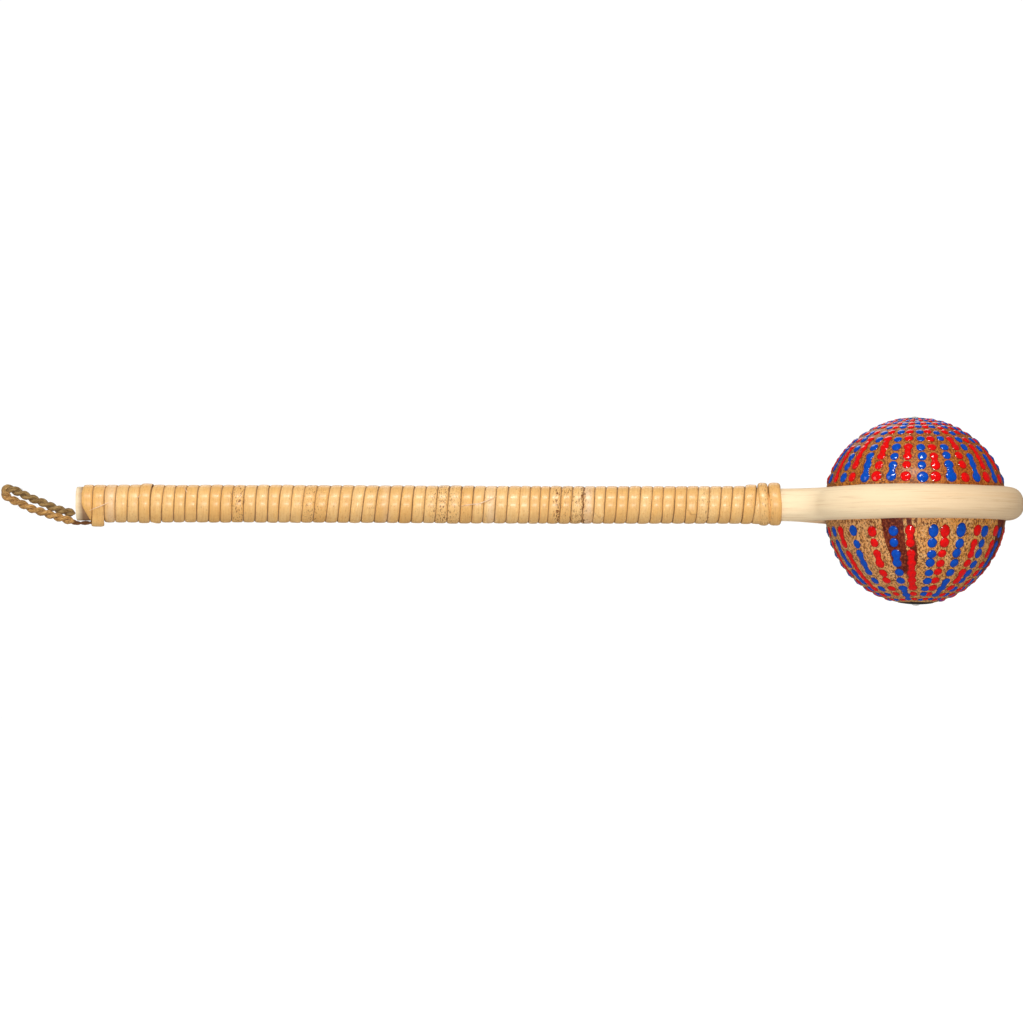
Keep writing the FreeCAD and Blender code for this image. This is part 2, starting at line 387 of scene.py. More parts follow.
def rattan_peel():
    """Glossy rattan peel, its grain along each turn, with dark flecks and painted shade between the turns.
    """
    f = Finish("rattan_peel")
    streak = f.noise(f.grain(0.06), 0.55, 4.0, 0.65)
    cloud = f.noise(f.grain(0.5), 4.5, 3.0)
    fleck = f.noise(f.grain(0.42), 0.62, 3.0, 0.62)
    base = f.mix(f.given("tint"), rgb(232, 176, 98), rgb(245, 201, 134))
    colour = f.tinge(base, streak, 0.42, 0.70, 0.5, rgb(209, 150, 78))
    colour = f.tinge(colour, cloud, 0.46, 0.72, 0.45, rgb(242, 184, 100))
    colour = f.mix(f.times(f.given("pale"), f.level(cloud, 0.30, 0.60, 0.5, 1.0)),
                   colour, rgb(241, 208, 172))
    freckle = f.noise(f.grain(0.8), 0.9, 4.0, 0.7)
    colour = f.tinge(colour, freckle, 0.54, 0.66, 0.45, rgb(214, 138, 58))
    scorch = f.given("scorch")
    few = f.times(f.level(fleck, 0.64, 0.69), 0.45)
    many = f.times(f.level(f.sum(fleck, f.times(scorch, 0.05)), 0.605, 0.66), scorch)
    colour = f.mix(f.sum(few, many, "MAXIMUM"), colour, rgb(122, 66, 18))
    # painted shade: the rim value darkens each strip's edges, standing in for shadow in the gaps between
    # turns
    colour = f.mix(f.given("rim"), colour, rgb(112, 58, 16))
    rough = f.level(streak, 0.3, 0.7, 0.32, 0.50)
    return f.done(colour, rough, f.bump(streak, 0.05), coat=0.2, coat_roughness=0.2)


def fibre_cord():
    """Dry twisted plant fibre: greenish at shade 0, golden at 1 and dark brown above it."""
    f = Finish("fibre_cord")
    strand = f.noise(f.grain(0.10), 0.30, 4.0, 0.7, 0.4)
    cloud = f.noise(f.grain(0.6), 3.0, 3.0)
    shade = f.given("shade")
    light = f.mix(shade, rgb(176, 142, 88), rgb(220, 170, 100))
    dark = f.mix(shade, rgb(82, 56, 20), rgb(128, 78, 26))
    colour = f.mix(f.level(strand, 0.36, 0.62), dark, light)
    colour = f.tinge(colour, cloud, 0.50, 0.72, 0.5, rgb(112, 78, 34))
    colour = f.tinge(colour, shade, 1.0, 1.6, 0.85, rgb(104, 56, 20))
    return f.done(colour, 0.78, f.bump(strand, 0.16), sheen=0.15, light=0.25)


def upper_nut_shell():
    """Varnished shell, orange-brown and closely speckled, plainer towards the far end."""
    f = Finish("upper_nut_shell")
    place = f.place()
    fine = f.noise(place, 0.62, 4.0, 0.72)
    speck = f.noise(f.stretch(place, (1.0, 1.0, 0.8)), 0.95, 3.0, 0.60, 0.4)
    mottle = f.noise(f.stretch(place, (1.0, 1.0, 0.6)), 4.0, 4.0, 0.6, 0.5)
    plain = f.level(f.x_of(place), 440.0, 500.0)
    base = f.mix(plain, rgb(188, 112, 36), rgb(184, 94, 10))
    colour = f.tinge(base, mottle, 0.40, 0.70, 0.6, rgb(208, 126, 42))
    dark = f.mix(plain, rgb(104, 50, 10), rgb(130, 58, 4))
    colour = f.tinge(colour, speck, 0.46, 0.56, 0.92, dark)
    colour = f.tinge(colour, fine, 0.58, 0.68, 0.6, rgb(236, 168, 96))
    bumps = f.bump(fine, 0.09, f.bump(speck, 0.16))
    return f.done(colour, f.level(fine, 0.3, 0.7, 0.36, 0.54), bumps,
                  coat=0.18, coat_roughness=0.24, light=0.3)


def lower_nut_shell():
    """Scraped shell: sandy, thick with coarse dark and light fibres, and dark petals of skin left on."""
    f = Finish("lower_nut_shell")
    place = f.place()
    fibre = f.noise(f.stretch(place, (1.0, 1.0, 0.55)), 0.92, 4.0, 0.66, 0.6)
    fine = f.noise(place, 0.55, 3.0, 0.7)
    mottle = f.noise(f.stretch(place, (1.0, 1.0, 0.6)), 5.0, 4.0, 0.6)
    base = f.mix(f.level(f.x_of(place), 425.0, 500.0), rgb(226, 158, 90), rgb(226, 152, 64))
    colour = f.tinge(base, mottle, 0.42, 0.70, 0.6, rgb(246, 198, 134))
    colour = f.tinge(colour, fibre, 0.475, 0.555, 0.95, rgb(110, 54, 12))
    colour = f.tinge(colour, fine, 0.60, 0.68, 0.7, rgb(255, 226, 184))
    skin = f.ramp(fibre, [(0.36, rgb(70, 12, 0)), (0.66, rgb(172, 84, 40)), (0.52, rgb(112, 30, 4))])
    ragged = f.sum(f.given("stain"), f.level(fibre, 0.3, 0.7, -0.30, 0.30))
    colour = f.mix(f.level(ragged, 0.42, 0.58), colour, skin)
    bumps = f.bump(fine, 0.10, f.bump(fibre, 0.22))
    return f.done(colour, f.level(fibre, 0.3, 0.7, 0.34, 0.54), bumps,
                  coat=0.12, coat_roughness=0.25, light=0.25)


def gloss_paint(name, body_colour, deep_colour):
    """Thick glossy paint: painted shade makes it deeper towards its rim, where it thins, with soft drying
    ripples.
    """
    f = Finish(name)
    ripple = f.noise(f.place(), 1.4, 3.0, 0.5)
    tone = f.tinge(body_colour, ripple, 0.35, 0.70, 0.30, deep_colour)
    # painted shade: the colour turns to the deep colour as the paint's height falls towards each drop's rim
    colour = f.mix(f.level(f.given("height"), 0.02, 0.60, 0.85, 0.0), tone, deep_colour)
    return f.done(colour, f.level(ripple, 0.3, 0.7, 0.12, 0.24), f.bump(ripple, 0.05),
                  coat=0.75, coat_roughness=0.02, light=0.2)


def dark_paint():
    """Thin brushed black paint, worn grey in places."""
    f = Finish("black_paint")
    place = f.place()
    worn = f.noise(place, 2.4, 5.0, 0.65)
    fine = f.noise(place, 0.5, 3.0, 0.6)
    colour = f.mix(f.level(worn, 0.52, 0.72, 0.0, 0.6), rgb(12, 10, 10), rgb(62, 52, 46))
    return f.done(colour, f.level(fine, 0.3, 0.7, 0.34, 0.54), f.bump(fine, 0.06), coat=0.2, light=0.3)


def peg_wood():
    """Plain wood, its grain along the peg."""
    f = Finish("peg_wood")
    line = f.noise(f.stretch(f.place(), (0.1, 1.0, 1.0)), 0.5, 4.0, 0.7)
    colour = f.ramp(line, [(0.32, rgb(120, 72, 34)), (0.68, rgb(206, 158, 98))])
    return f.done(colour, 0.55, f.bump(line, 0.08))


def seed_coat():
    """A hard dull seed with a mottled coat."""
    f = Finish("seed")
    mottle = f.noise(f.place(), 1.1, 4.0, 0.6, 0.4)
    colour = f.ramp(mottle, [(0.35, rgb(58, 34, 18)), (0.68, rgb(132, 92, 52))])
    return f.done(colour, 0.45, f.bump(mottle, 0.08))


POLE = rattan_pole()
PEEL = rattan_peel()
CORD = fibre_cord()
UPPER_NUT = upper_nut_shell()
LOWER_NUT = lower_nut_shell()
BLUE = gloss_paint("blue_paint", rgb(0, 78, 190), rgb(0, 28, 100))
RED = gloss_paint("red_paint", rgb(238, 5, 4), rgb(132, 0, 2))
WHITE = gloss_paint("white_paint", rgb(244, 242, 236), rgb(196, 190, 180))
BLACK = dark_paint()
PEG = peg_wood()
SEED = seed_coat()


# ---- the bent loop of split rattan ----
def hoop_stations():
    """The flat inner face's middle line and its outward directions, butt to butt."""
    reach = HEAD_X - NECK_X
    bend_r = (reach ** 2 + SPLIT_HALF_GAP ** 2 - HOOP_R ** 2) / (2 * (HOOP_R - SPLIT_HALF_GAP))
    bend_turn = math.atan2(reach, bend_r + SPLIT_HALF_GAP)
    straight = np.concatenate([[0.0, 0.0, 0.0, 0.0, 0.15, 0.6], np.arange(4.0, NECK_X, 6.0)])
    points = [(x, -SPLIT_HALF_GAP) for x in straight]
    outward = [(0.0, -1.0)] * len(straight)
    for a in np.linspace(0.0, bend_turn, 46):
        points.append((NECK_X + bend_r * math.sin(a),
                       -(SPLIT_HALF_GAP + bend_r) + bend_r * math.cos(a)))
        outward.append((-math.sin(a), -math.cos(a)))
    for a in np.linspace(np.pi * 1.5 - bend_turn, 2 * np.pi, 150)[1:]:
        points.append((HEAD_X + HOOP_R * math.cos(a), HOOP_R * math.sin(a)))
        outward.append((math.cos(a), math.sin(a)))
    near_half = np.array(points), np.array(outward)
    return [np.vstack([side, side[-2::-1] * (1.0, -1.0)]) for side in near_half]


def half_round_outline():
    """(outward, up) round a split half: a bowed outside, eased corners and the flat inside."""
    bow = np.radians(np.linspace(-85.0, 85.0, 45))
    squareness = 0.86  # 1 would be a true half circle
    outside = np.stack([(POLE_R - SPLIT_HALF_GAP) * np.cos(bow) ** squareness,
                        POLE_R * np.sign(bow) * np.abs(np.sin(bow)) ** squareness], -1)
    corner = np.array([(0.45, 0.990), (0.20, 0.978), (0.05, 0.960)]) * (1.0, POLE_R)
    flat = np.linspace(0.90, -0.90, 9)[:, None] * (0.0, POLE_R)
    return np.vstack([outside, corner, flat, corner[::-1] * (1.0, -1.0)])


def build_hoop():
    middle, outward = hoop_stations()
    along = lengths_along(middle + outward * POLE_R / 2)
    # the two cut ends are closed by ever smaller rings
    size = np.ones(len(middle))
    cut_rings = np.array([0.03, 0.40, 0.80, 0.95, 0.985])
    size[:5] = cut_rings
    size[-5:] = cut_rings[::-1]
    core = np.array([POLE_R * 0.42, 0.0])
    section = core + (half_round_outline() - core)[None] * size[:, None, None]
    lengths = np.broadcast_to(along[:, None, None], section.shape[:2] + (1,))
    grain = np.concatenate([lengths, section], -1)
    lumps = 0.16 * relief(grain / (4.0, 1.0, 1.0), 4.5, 11)
    lumps += 0.07 * relief(grain / (30.0, 1.0, 1.0), 1.1, 12)
    nicks = np.clip(relief(grain / (2.5, 1.0, 1.0), 1.6, 13) - 0.62, 0.0, 1.0) * 0.9
    push = (section - core) / np.linalg.norm(section - core, axis=-1, keepdims=True)
    out_of_flat = ease(section[..., :1] / 1.2)
    section = section + push * (lumps - nicks)[..., None] * out_of_flat
    sway = 0.25 * wander(along, 60.0, 14)
    grid = np.zeros(section.shape[:2] + (3,))
    grid[..., :2] = middle[:, None] + outward[:, None] * section[..., :1]
    grid[..., 2] = section[..., 1] * (1.0 + 0.012 * wander(along, 45.0, 15))[:, None]
    on_head = (middle[:, 0] > NECK_X)[:, None]
    round_head = near(along, along[-1] / 2, 190.0)[:, None]
    narrowed = 0.02 * round_head + 0.035 * near(middle[:, 0], 390.0, 40.0)[:, None]
    grid[..., 2] *= 1.0 - narrowed
    grid[..., 2] += np.where(on_head, (sway[:, None] - 0.15) * round_head, 0.0) + sag(grid[..., 0])
    # the far side hangs a little low where it leaves the binding
    far_root = near(middle[:, 0], 418.0, 32.0) * (middle[:, 1] > 0.0)
    grid[..., 2] -= 1.1 * far_root[:, None]
    cut_roughness = 0.18 * relief(grain * (0.0, 1.0, 1.0), 1.3, 16) * near(size, 0.4, 0.55)[:, None]
    grid[..., 0] += np.where(on_head, 0.0, cut_roughness)
    # what the binding hides is dark, so that it shows as shadow between the turns
    hidden = (middle[:, 0] > 3.0) & (middle[:, 0] < NECK_X - 2.0)
    shade = 0.85 * hidden[:, None] * np.ones(section.shape[:2])
    part = closed_sweep(grid, {"grain": grain, "shade": shade})
    make_piece("bent_loop", part, POLE, ["hoop"])


# ---- the head ----
def dome(azimuth, rise, height, sign):
    """Points and outward directions on a half shell. Azimuth 0 is the front, positive to the right."""
    azimuth, rise = np.broadcast_arrays(azimuth, rise)
    flat_r = HEAD_R * np.cos(rise)
    x = flat_r * np.sin(azimuth)
    y = -flat_r * np.cos(azimuth)
    z = sign * height * np.sin(rise)
    points = np.stack([HEAD_X + x, y, SEAM_Z + z], -1)
    normal = np.stack([x / HEAD_R ** 2, y / HEAD_R ** 2, z / height ** 2], -1)
    normal /= np.linalg.norm(normal, axis=-1, keepdims=True)
    lumps = 0.30 * relief(points, 19.0, 21) + 0.12 * relief(points, 7.0, 22)
    lumps += 0.04 * relief(points, 2.0, 23)
    clear_of_loop = ease((np.abs(points[..., 2]) - 6.0) / 8.0)
    return points + normal * (lumps * clear_of_loop)[..., None], normal


HEAD_TURN = -5.1  # degrees by which all the paint is turned about the pole axis

# Petals: their edges' azimuths against height, in degrees and millimetres.
PETAL_Z = (-2.0, -8.8, -15.5, -22.8, -28.2, -32.6, -37.0, -39.5, -42.0)
LEFT_PETAL = ((-23.0, -22.2, -21.3, -20.4, -18.9, -18.0, -14.8, -8.0, -6.5),
              (-7.6, -7.5, -7.3, -6.6, -5.6, -5.0, -5.2, -6.0, -6.6))
RIGHT_PETAL = ((-6.0, -5.8, -5.2, -4.3, -3.8, -3.8, -1.4, -0.2, 0.0),
               (-3.2, -2.7, -1.2, 0.6, 1.8, 1.6, -1.0, -0.4, 0.0))
PETAL_TURNS = (0.0, 87.0, 176.0, 268.0)  # the pair is repeated round the head


def petal_share(azimuth, z):
    """1 inside a petal, 0 outside, and between them within half a millimetre of an edge."""
    degrees = np.degrees(azimuth)
    flat_r = HEAD_R * np.sqrt(np.clip(1 - ((z - SEAM_Z) / LOWER_H) ** 2, 0.0, 1.0))
    inside = np.zeros_like(z)
    for turn in PETAL_TURNS:
        off = (degrees - HEAD_TURN - turn + 180.0) % 360.0 - 180.0
        for left, right in (LEFT_PETAL, RIGHT_PETAL):
            low = np.interp(-z, -np.array(PETAL_Z), left)
            high = np.interp(-z, -np.array(PETAL_Z), right)
            margin = np.radians(np.minimum(off - low, high - off)) * flat_r
            inside = np.maximum(inside, ease(0.5 + margin))
    return inside * ease((z + 41.5) / 2.0)


def build_shell(name, node, height, sign, material):
    columns, rows = 520, 150
    azimuth = np.linspace(-np.pi, np.pi, columns, endpoint=False)
    rise = np.linspace(0.0, np.pi / 2, rows + 1)[:-1]
    outside, _ = dome(azimuth, rise[:, None], height, sign)
    # a narrow round at the seam
    lip = np.array([0.35, 0.12])[:, None]
    outside[:2, :, 0] -= np.sin(azimuth) * lip
    outside[:2, :, 1] += np.cos(azimuth) * lip
    start = math.asin((SEAM_Z - CAVITY_Z) / CAVITY_R)
    dip = np.linspace(start, sign * np.pi / 2, rows // 5 + 1)[:-1, None]
    inside = np.broadcast_arrays(HEAD_X + CAVITY_R * np.cos(dip) * np.sin(azimuth),
                                 -CAVITY_R * np.cos(dip) * np.cos(azimuth),
                                 CAVITY_Z + CAVITY_R * np.sin(dip))
    grid = np.concatenate([np.stack(inside, -1)[::-1], outside])
    if sign > 0:
        grid = grid[:, ::-1]
    turns = np.arctan2(grid[..., 0] - HEAD_X, -grid[..., 1])
    stain = petal_share(turns, grid[..., 2]) if sign < 0 else np.zeros(grid.shape[:2])
    make_piece(name, closed_sweep(grid, {"stain": stain}), material, [node])


# ---- the raised paint dots ----
DOT_STEP = 0.33  # of the grid that each row of dots is drawn on
DOT_HALF_SPAN = 4.3
BLEND_SHARPNESS = 6.0  # how little neighbouring dots run together
DOT_HEIGHT = 0.120  # of a dot, over its width
NIPPLE_FROM = 4.7  # drops wider than this keep a small peak where the tip was lifted off
NIPPLE_H = 0.22
NIPPLE_R = 0.62

# Heights and sizes of a row's dots, first to last.
UPPER_DOTS = ((13.3, 6.0), (19.8, 5.0), (24.6, 4.9), (29.5, 4.8), (34.2, 4.6), (38.1, 4.2),
              (41.1, 3.9), (43.3, 3.5), (44.8, 2.9), (45.8, 2.2))
LOWER_DOTS = ((-15.9, 5.6), (-22.6, 5.0), (-28.4, 5.1), (-33.7, 5.1), (-38.4, 5.0), (-42.9, 5.0),
              (-46.9, 4.8), (-50.2, 4.3), (-52.6, 3.4))
UPPER_ROWS = 36
FRONT_LOWER_ROWS = (-65.7, -56.8, -44.0, -28.8, -14.3, -3.2, 11.6, 19.6, 31.2, 44.0, 51.8, 64.6,
                    72.4, 85.0)
BACK_LOWER_ROWS = 18
# (row, first dot, last dot) that have run together
UPPER_RUNS = ((4, 0, 2), (1, 1, 2), (-2, 0, 1), (-3, 2, 4), (-4, 0, 2), (-5, 1, 4), (2, 0, 1), (5, 1, 3),
              (-7, 0, 3), (6, 0, 2), (-1, 2, 3), (7, 1, 3), (-8, 2, 4), (3, 3, 4), (-6, 4, 5))
LOWER_RUNS = ((0, 1, 3), (0, 4, 5), (1, 0, 1), (1, 2, 6), (2, 2, 4), (3, 2, 3), (4, 2, 3), (4, 6, 8),
              (5, 0, 1), (5, 2, 6), (8, 5, 7), (9, 1, 2), (9, 4, 5), (11, 1, 2), (12, 1, 3), (13, 0, 2))
LONG_FIRST_DOTS = (6, 7, 8)  # lower rows that start with a long drop


def dot_row(azimuth, dots, height, sign):
    """One row of dots down a meridian: drops of paint standing on the shell, run together by nearness.
    Each dot is (height, diameter, length over width, offset to the side)."""
    rises = np.linspace(0.0, np.pi / 2, 400)
    lengths = lengths_along(np.stack([np.cos(rises) * HEAD_R, np.sin(rises) * height], -1))
    middles = [np.interp(math.asin((z - SEAM_Z) * sign / height), rises, lengths) for z, *_ in dots]
    v = np.arange(min(middles) - 5.2, min(max(middles) + 3.0, lengths[-1] - 5.0), DOT_STEP)
    u = np.arange(-DOT_HALF_SPAN, DOT_HALF_SPAN + 0.01, DOT_STEP)
    rise = np.interp(v, lengths, rises)[:, None]
    flat_r = HEAD_R * np.cos(rise)
    base, normal = dome(azimuth + u / flat_r, rise, height, sign)
    total = np.zeros((len(v), len(u)))
    for middle, (z, wide, longer, aside) in zip(middles, dots):
        r = wide / 2
        total += np.exp(-BLEND_SHARPNESS * (((u - aside) / r) ** 2
                                            + ((v[:, None] - middle) / (r * longer)) ** 2))
    from_edge = 1.0 + np.log(total + 1e-12) / BLEND_SHARPNESS
    tallest = DOT_HEIGHT * dots[1][1]
    up = tallest * np.clip(from_edge, 0.0, None) ** 0.56 - 0.5 * np.clip(-from_edge, 0.0, 0.6)
    for middle, (z, wide, longer, aside) in zip(middles, dots):
        if wide > NIPPLE_FROM:
            apart = np.hypot(u - aside, v[:, None] - middle)
            up = up + NIPPLE_H * np.exp(-(apart / NIPPLE_R) ** 2)
    grid = base + normal * up[..., None]
    faces = sheet_faces(len(v), len(u), False)
    if sign < 0:
        faces = faces[:, ::-1]
    kept = faces[(up.ravel()[faces] > -0.12).any(1)]
    used, corners = np.unique(kept, return_inverse=True)
    share = (up / tallest).reshape(-1, 1)
    return grid.reshape(-1, 3)[used], [corners.reshape(-1, 4)], {"height": share[used]}


def varied(dots, luck, runs=(), first_longer=1.0):
    """The row's dots with small differences, and with fillers where dots have run together."""
    made = []
    for number, (z, wide) in enumerate(dots):
        longer = first_longer if number == 0 else luck.uniform(0.96, 1.12)
        made.append((z + luck.uniform(-0.4, 0.4), wide * luck.uniform(0.93, 1.07), longer,
                     luck.uniform(-0.3, 0.3)))
    for first, last in runs:
        for a, b in zip(made[first:last], made[first + 1:last + 1]):
            made.append(((a[0] + b[0]) / 2, min(a[1], b[1]) * 0.74, 1.2, (a[3] + b[3]) / 2))
    return made


def build_dots():
    luck = np.random.default_rng(31)
    rows = {}
    for i in range(UPPER_ROWS):
        number = (i + UPPER_ROWS // 2) % UPPER_ROWS - UPPER_ROWS // 2
        azimuth = math.radians(HEAD_TURN + 4.2 + 360.0 / UPPER_ROWS * number + luck.uniform(-0.8, 0.8))
        runs = [(a, b) for row, a, b in UPPER_RUNS if row == number]
        if abs(number) > 8 and luck.uniform() < 0.6:
            first = int(luck.integers(0, 5))
            runs = [(first, first + int(luck.integers(1, 4)))]
        dots = varied(UPPER_DOTS, luck, runs)
        rows.setdefault(("upper", i % 2), []).append(dot_row(azimuth, dots, UPPER_H, 1))
    first, last = FRONT_LOWER_ROWS[0], FRONT_LOWER_ROWS[-1]
    gap = (360.0 - last + first) / (BACK_LOWER_ROWS + 1)
    back = [last + gap * (k + 1) + luck.uniform(-1.5, 1.5) for k in range(BACK_LOWER_ROWS)]
    for i, degrees in enumerate(FRONT_LOWER_ROWS + tuple(back)):
        runs = [(a, b) for row, a, b in LOWER_RUNS if row == i]
        if i >= len(FRONT_LOWER_ROWS) and luck.uniform() < 0.7:
            first = int(luck.integers(0, 4))
            runs = [(first, first + int(luck.integers(1, 5)))]
        dots = varied(LOWER_DOTS, luck, runs, 1.35 if i in LONG_FIRST_DOTS else 1.1)
        row = dot_row(math.radians(HEAD_TURN + degrees), dots, LOWER_H, -1)
        rows.setdefault(("lower", i % 2), []).append(row)
    for (half, odd), parts in rows.items():
        colour, paint = ("red", RED) if odd else ("blue", BLUE)
        make_piece(half + "_" + colour + "_dots", join(parts), paint)


# A patch and a drop, from under their rims to the pole: shares of the rim's radius, and heights.
PATCH_R = (1.04, 1.0, 0.94, 0.8, 0.6, 0.4, 0.2, 0.02)
PATCH_H = (-0.4, 0.05, 0.22, 0.26, 0.26, 0.26, 0.26, 0.26)
DROP_R = (1.08, 1.0, 0.9, 0.7, 0.45, 0.2, 0.02)
DROP_H = (-0.1, 0.30, 0.56, 0.78, 0.92, 0.98, 1.0)


def pole_paint(turns, rim, radii, heights, height, sign):
    """Paint over one pole; rim is its outline's radius at each of the turns."""
    tilt = np.arccos(np.clip(np.outer(radii, rim) / HEAD_R, 0.0, 1.0))
    base, normal = dome(turns, tilt, height, sign)
    rise = np.array(heights)[:, None] + 0 * tilt
    grid = base + normal * rise[..., None]
    return closed_sweep(grid[:, ::sign], {"height": np.clip(rise / max(heights), 0.0, 1.0)})


def build_poles():
    """A dark painted patch round each pole with a white drop in its middle."""
    patches, drops = [], []
    turns = circle(96)
    for height, sign in ((UPPER_H, 1), (LOWER_H, -1)):
        places = np.stack([np.cos(turns), np.sin(turns), 0 * turns + sign], -1)
        rim = 9.8 + 0.5 * relief(places, 0.7, 41)
        patches.append(pole_paint(turns, rim, PATCH_R, PATCH_H, height, sign))
        rim = 1.9 + 0.12 * np.sin(2 * turns + sign)
        drops.append(pole_paint(turns, rim, DROP_R, DROP_H, height, sign))
    make_piece("pole_patches", join(patches), BLACK)
    make_piece("pole_drops", join(drops), WHITE)


# ---- the binding ----
# Stretches of the binding that differ: the middle, the half width and how much of it there is.
SCORCHED_X = ((89.0, 8.0, 1.0), (130.0, 11.0, 0.8), (164.0, 7.0, 0.5), (202.0, 17.0, 1.0),
              (263.5, 2.6, 1.6), (272.0, 19.0, 0.8), (277.8, 2.0, 1.6), (345.0, 9.0, 0.6),
              (378.0, 9.0, 0.6))
PALE_X = ((19.0, 5.0, 0.5), (227.5, 4.5, 0.45), (280.5, 4.5, 0.7), (170.0, 3.5, 0.3))
CLOSED_X = ((37.0, 5.0, 0.95), (76.0, 3.6, 0.95), (244.0, 3.0, 0.95))  # turns that lie edge to edge
LIFTED_X = ((38.0, 7.0, 0.70), (370.3, 4.6, 0.80), (118.0, 5.0, 0.2), (205.0, 5.0, 0.25))
TUCK_DEG = 26.0  # over which a strip's end dives or rises at a splice
SLANT_DEG = 20.0  # over which a strip's end is cut on the slant
START_LIFT = 0.45  # by which a strip's start stands higher, over the last one's end


def stretches(x, places):
    """How much of it there is at x, for one of the lists above."""
    return sum(near(x, middle, half_width) * most for middle, half_width, most in places)


def openness(x):
    """Near 0 where turns lie edge to edge, with hardly a line between them, and 1 elsewhere."""
    return 1.0 - stretches(x, CLOSED_X)


def winding(x):
    """Degrees wound, growing along the handle, for a turn whose middle stands at x."""
    return (np.asarray(x, float) - TOP_CROSSING_X) * 360.0 / PITCH


# How far the turns have slipped from an even winding, and how much less than it they lean.
DRIFT_X = (0.0, 100.0, 150.0, 165.0, 210.0, 242.0, 257.0, 290.0, 330.0, 370.0)
DRIFT = (1.8, 1.8, 2.8, 4.2, 5.4, 5.2, 2.4, 1.2, 0.6, 0.0)
LEAN_X = (5.0, 9.0, 25.0, 105.0, 125.0, 165.0, 185.0, 340.0, 370.0)
LEAN_LESS = (0.3, 1.2, 0.6, 0.7, 0.0, 0.0, 0.4, 0.4, 0.1)


def turn_edge(wound):
    """Where the edge shared by two turns stands; it wanders a little."""
    even = TOP_CROSSING_X - PITCH / 2 + PITCH * wound / 360.0
    drift = np.interp(even, DRIFT_X, DRIFT)
    drift = drift - np.interp(even, LEAN_X, LEAN_LESS) * np.cos(np.radians(wound))
    return even + drift + 0.26 * wander(wound, 150.0, 51) + 0.22 * wander(wound, 700.0, 52)


# A strip's section: places across it, from edge to edge, and heights over its thickness.
PROFILE_V = np.array([1.0, 1.0, 0.975, 0.90, 0.74, 0.50, 0.25, 0.0,
                      -0.25, -0.50, -0.74, -0.90, -0.975, -1.0, -1.0])
PROFILE_H = np.array([0.0, 0.18, 0.40, 0.65, 0.86, 0.955, 0.99, 1.0,
                      0.99, 0.955, 0.86, 0.65, 0.40, 0.18, 0.0])


def make_strip(name, node, wound, left, right, inner, thick, seed):
    """A strip of peel wound round the handle, from arrays along its length."""
    middle = (left + right) / 2
    x = middle[:, None] + PROFILE_V[None] * ((right - left) / 2)[:, None]
    spin = np.radians(wound)[:, None] + 0 * x
    grain = np.stack([spin * POLE_R, x - middle[:, None], 0 * x + seed], -1)
    ridges = 0.05 * relief(grain / (14.0, 1.0, 1.0), 0.9, 53)
    ridges += 0.06 * relief(grain / (2.0, 1.0, 1.0), 2.5, 54)
    rise = PROFILE_H[None] * thick[:, None] + ridges * (PROFILE_H > 0.4)[None]
    r = inner[:, None] + rise
    angle = np.pi / 2 - spin
    grid = np.stack([x, r * np.cos(angle), r * np.sin(angle) + sag(x)], -1)
    # painted shade in the lines between turns: the strips' edges are darkened, more in some places than
    # others and hardly at all where turns lie edge to edge
    gap_shade = np.clip(0.34 + 0.95 * wander(wound, 70.0, 55), 0.03, 1.0)[:, None] * openness(x)
    rim = ease((np.abs(PROFILE_V) - 0.92) / 0.07)[None] * gap_shade
    tint = 0.5 + 0.35 * wander(wound, 330.0, 56) + 0.2 * wander(wound, 90.0, 57)
    values = {"grain": grain, "rim": rim,
              "scorch": stretches(x, SCORCHED_X), "pale": stretches(x, PALE_X),
              "tint": np.clip(tint, 0.0, 1.0)[:, None] + 0 * x}
    make_piece(name, closed_sweep(grid, values), PEEL, [node])


def build_handle_strips():
    """The first layer: one strip after another, each end tucked under the next strip's start."""
    for number, (start, end) in enumerate(zip(SPLICES_X, SPLICES_X[1:]), start=1):
        wound = np.arange(winding(start) - WOUND_STEP, winding(end) + 4 * WOUND_STEP, WOUND_STEP)
        from_start = wound - wound[0]
        to_end = wound[-1] - wound
        left, right = turn_edge(wound), turn_edge(wound + 360.0)
        left = left + STRIP_GAP / 2 * openness(left)
        right = right - STRIP_GAP / 2 * openness(right)
        left = left + (right - left) * 0.45 * (1 - ease(from_start / SLANT_DEG))
        right = right - (right - left) * 0.5 * (1 - ease(to_end / SLANT_DEG))
        thick = STRIP_T * (1 + 0.10 * wander(wound, 500.0, 58))
        thick = thick * (0.45 + 0.55 * ease(to_end / TUCK_DEG))
        middle = (left + right) / 2
        lift = stretches(middle, LIFTED_X)
        inner = STRIP_R + lift * (0.75 + 0.25 * np.cos(np.radians(wound + 20.0)))
        if number > 1:
            inner = inner + START_LIFT * (1 - ease(from_start / TUCK_DEG))
        make_strip(f"peel_strip_{number}", f"wrap_strip_{number}", wound, left, right, inner, thick, number)


BUTT_WOUND = 608.0  # degrees from the pointed start to the first splice
BUTT_POINT_DEG = (14.0, 114.0)  # over which the point widens to the full strip
BUTT_HOLD_DEG = 200.0  # from here on it runs over the cord's tail
TAIL_ANGLE = 259.0  # where the cord's tail lies, from +Y towards +Z
TAIL_HALF_SPAN = 42.0
TAIL_RISE = 2.5  # by which the strip stands higher over the tail
CORE_SHOWN_X = 2.1  # the binding starts this far from the cut face


